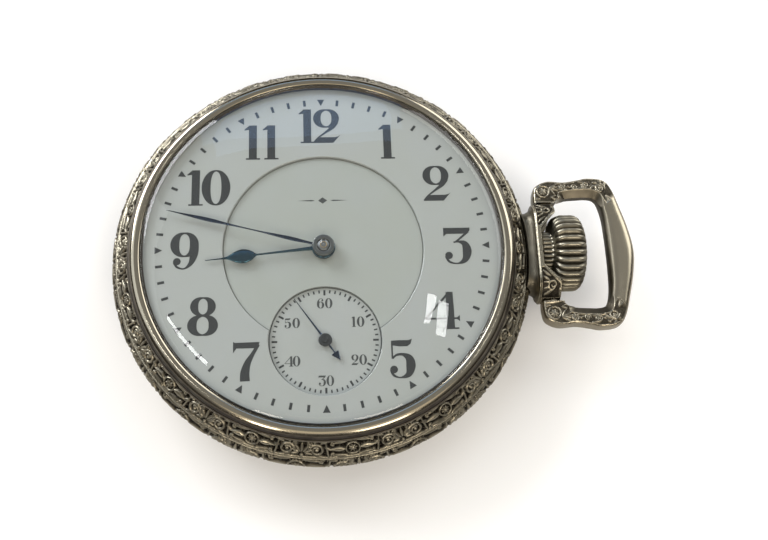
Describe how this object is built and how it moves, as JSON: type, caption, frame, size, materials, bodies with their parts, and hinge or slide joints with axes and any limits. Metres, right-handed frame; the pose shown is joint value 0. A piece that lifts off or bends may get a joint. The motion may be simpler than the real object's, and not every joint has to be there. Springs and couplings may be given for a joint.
{
  "type": "open face pocket watch",
  "caption": "Round open face pocket watch with a stirrup bow, fluted crown, engraved case rim, sunk seconds dial and a full lever movement inside.",
  "frame": {"origin": "centre of the flat of the case back, on the axis of the dial", "axes": "+Z leaves the dial, +X points along the winding stem to the crown and bow (3 on the dial), +Y points at 12"},
  "size_m": [0.0642, 0.0512, 0.0116],
  "materials": {
    "case_metal": "polished nickel silver with aged engraving",
    "crystal_glass": "clear polished mineral glass",
    "movement_nickel": "damaskeened nickel",
    "steel": "polished steel",
    "blued_steel": "heat-blued steel",
    "spring_steel": "bright spring steel",
    "brass": "gilt brass",
    "escape_steel": "polished steel",
    "balance_bimetal": "brass rim with a steel inner layer",
    "jewel": "polished synthetic ruby",
    "dial_enamel": "fired enamel on copper",
    "copper": "plain copper"
  },
  "bodies": {
    "case": {"case_centre_band": "case_metal", "pendant": "case_metal", "pendant_sleeve": "steel", "pillar_plate": "movement_nickel", "barrel_bridge": "movement_nickel", "train_bridge": "movement_nickel", "balance_cock": "movement_nickel", "pallet_cock": "movement_nickel", "balance_cock_screw": "blued_steel", "bridge_screws": "blued_steel", "case_screws": "blued_steel", "plate_jewels": "jewel", "bridge_jewels": "jewel", "crown_wheel_screw": "blued_steel", "click_spring": "steel", "hairspring": "blued_steel", "hairspring_stud": "steel", "dial_outer_ring": "dial_enamel", "dial_centre_disc": "dial_enamel", "dial_seconds_disc": "dial_enamel", "dial_feet": "copper", "dial_foot_screws": "blued_steel"},
    "bezel": {"front_bezel": "case_metal", "crystal": "crystal_glass"},
    "back": {"case_back": "case_metal"},
    "bow": {"bow": "case_metal"},
    "winding": {"winding_pinion": "steel"},
    "stem": {"winding_stem": "steel", "crown": "case_metal"},
    "clutch": {"clutch_wheel": "steel"},
    "setting_lever": {"setting_lever": "steel"},
    "clutch_lever": {"clutch_lever": "steel"},
    "crown_wheel": {"crown_wheel": "steel"},
    "ratchet": {"ratchet_wheel": "steel", "ratchet_wheel_screw": "blued_steel", "barrel_arbor": "steel"},
    "click": {"click": "steel"},
    "barrel": {"mainspring_barrel": "brass", "barrel_cover": "brass", "mainspring": "spring_steel"},
    "centre": {"centre_wheel": "brass", "cannon_pinion": "steel", "minute_hand": "blued_steel"},
    "third": {"third_wheel": "brass"},
    "fourth": {"fourth_wheel": "brass", "seconds_hand": "blued_steel"},
    "escape": {"escape_wheel": "escape_steel"},
    "pallets": {"pallet_fork": "steel", "pallet_jewels": "jewel"},
    "balance": {"balance_wheel": "balance_bimetal", "balance_screws": "brass", "balance_staff": "steel", "roller_jewel": "jewel"},
    "regulator": {"regulator": "steel"},
    "minute_wheel": {"minute_wheel": "brass"},
    "hour": {"hour_wheel": "brass", "hour_hand": "blued_steel"},
    "setting_wheel": {"setting_wheel": "brass"}
  },
  "joints": [
    {"name": "bow_swing", "type": "hinge", "parent": "case", "child": "bow", "pos_m": [0.0279, 0, 0.0054], "axis": [0, -1, 0], "range_deg": [-110, 110]},
    {"name": "bezel_off", "type": "slide", "parent": "case", "child": "bezel", "axis": [0, 0, 1], "range_m": [0, 0.02]},
    {"name": "back_off", "type": "slide", "parent": "case", "child": "back", "axis": [0, 0, -1], "range_m": [0, 0.02]},
    {"name": "crown_turn", "type": "hinge", "parent": "case", "child": "winding", "pos_m": [0.0168, 0, 0.0054], "axis": [1, 0, 0], "continuous": true},
    {"name": "crown_pull", "type": "slide", "parent": "winding", "child": "stem", "axis": [1, 0, 0], "range_m": [0, 0.001]},
    {"name": "clutch_slide", "type": "slide", "parent": "winding", "child": "clutch", "axis": [1, 0, 0], "range_m": [-0.00085, 0]},
    {"name": "setting_lever_turn", "type": "hinge", "parent": "case", "child": "setting_lever", "pos_m": [0.0193, 0.0046, 0.0075], "axis": [0, 0, 1], "range_deg": [0, 12.42]},
    {"name": "clutch_lever_turn", "type": "hinge", "parent": "case", "child": "clutch_lever", "pos_m": [0.01405, -0.0049, 0.0075], "axis": [0, 0, 1], "range_deg": [0, 9.94]},
    {"name": "crown_wheel_turn", "type": "hinge", "parent": "case", "child": "crown_wheel", "pos_m": [0.01208, 0, 0.0025], "axis": [0, 0, 1], "continuous": true},
    {"name": "ratchet_turn", "type": "hinge", "parent": "case", "child": "ratchet", "pos_m": [0.00328, 0.00902, 0.0025], "axis": [0, 0, 1], "continuous": true},
    {"name": "click_lift", "type": "hinge", "parent": "case", "child": "click", "pos_m": [-0.00451, 0.01352, 0.0025], "axis": [0, 0, 1], "range_deg": [0, 8], "stiffness_Nm_per_rad": 0.000001, "springref_deg": -5.73},
    {"name": "seconds_run", "type": "hinge", "parent": "case", "child": "fourth", "pos_m": [0, -0.01135, 0.0053], "axis": [0, 0, -1], "continuous": true},
    {"name": "centre_run", "type": "hinge", "parent": "case", "child": "centre", "pos_m": [0, 0, 0.004], "axis": [0, 0, -1], "continuous": true},
    {"name": "third_run", "type": "hinge", "parent": "case", "child": "third", "pos_m": [0.00497, -0.0064, 0.0048], "axis": [0, 0, -1], "continuous": true},
    {"name": "barrel_run", "type": "hinge", "parent": "case", "child": "barrel", "pos_m": [0.00328, 0.00902, 0.0045], "axis": [0, 0, -1], "continuous": true},
    {"name": "escape_run", "type": "hinge", "parent": "case", "child": "escape", "pos_m": [-0.0053, -0.0135, 0.0045], "axis": [0, 0, -1], "continuous": true},
    {"name": "minute_wheel_run", "type": "hinge", "parent": "case", "child": "minute_wheel", "pos_m": [0.003, 0, 0.0074], "axis": [0, 0, -1], "continuous": true},
    {"name": "hour_run", "type": "hinge", "parent": "case", "child": "hour", "pos_m": [0, 0, 0.0077], "axis": [0, 0, -1], "continuous": true},
    {"name": "setting_wheel_run", "type": "hinge", "parent": "case", "child": "setting_wheel", "pos_m": [0.00875, 0, 0.0074], "axis": [0, 0, -1], "continuous": true},
    {"name": "pallet_rock", "type": "hinge", "parent": "case", "child": "pallets", "pos_m": [-0.00764, -0.01001, 0.0045], "axis": [0, 0, -1], "range_deg": [-4, 4]},
    {"name": "balance_swing", "type": "hinge", "parent": "case", "child": "balance", "pos_m": [-0.011, -0.005, 0.0031], "axis": [0, 0, -1], "range_deg": [-270, 270], "stiffness_Nm_per_rad": 0.0000032},
    {"name": "regulator_turn", "type": "hinge", "parent": "case", "child": "regulator", "pos_m": [-0.011, -0.005, 0.002], "axis": [0, 0, -1], "range_deg": [-15, 15]}
  ],
  "couplings": [
    {"joint": "clutch_slide", "follows": "crown_pull", "ratio": -0.85},
    {"joint": "setting_lever_turn", "follows": "crown_pull", "rad_per_m": 216.6},
    {"joint": "clutch_lever_turn", "follows": "crown_pull", "rad_per_m": 173.4},
    {"joint": "crown_wheel_turn", "follows": "crown_turn", "ratio": 0.46875},
    {"joint": "ratchet_turn", "follows": "crown_turn", "ratio": -0.35156},
    {"joint": "centre_run", "follows": "seconds_run", "ratio": 0.016667},
    {"joint": "third_run", "follows": "seconds_run", "ratio": -0.13333},
    {"joint": "barrel_run", "follows": "seconds_run", "ratio": -0.002381},
    {"joint": "escape_run", "follows": "seconds_run", "ratio": -10},
    {"joint": "minute_wheel_run", "follows": "seconds_run", "ratio": -0.0055556},
    {"joint": "hour_run", "follows": "seconds_run", "ratio": 0.0013889},
    {"joint": "setting_wheel_run", "follows": "seconds_run", "ratio": 0.0035714}
  ]
}
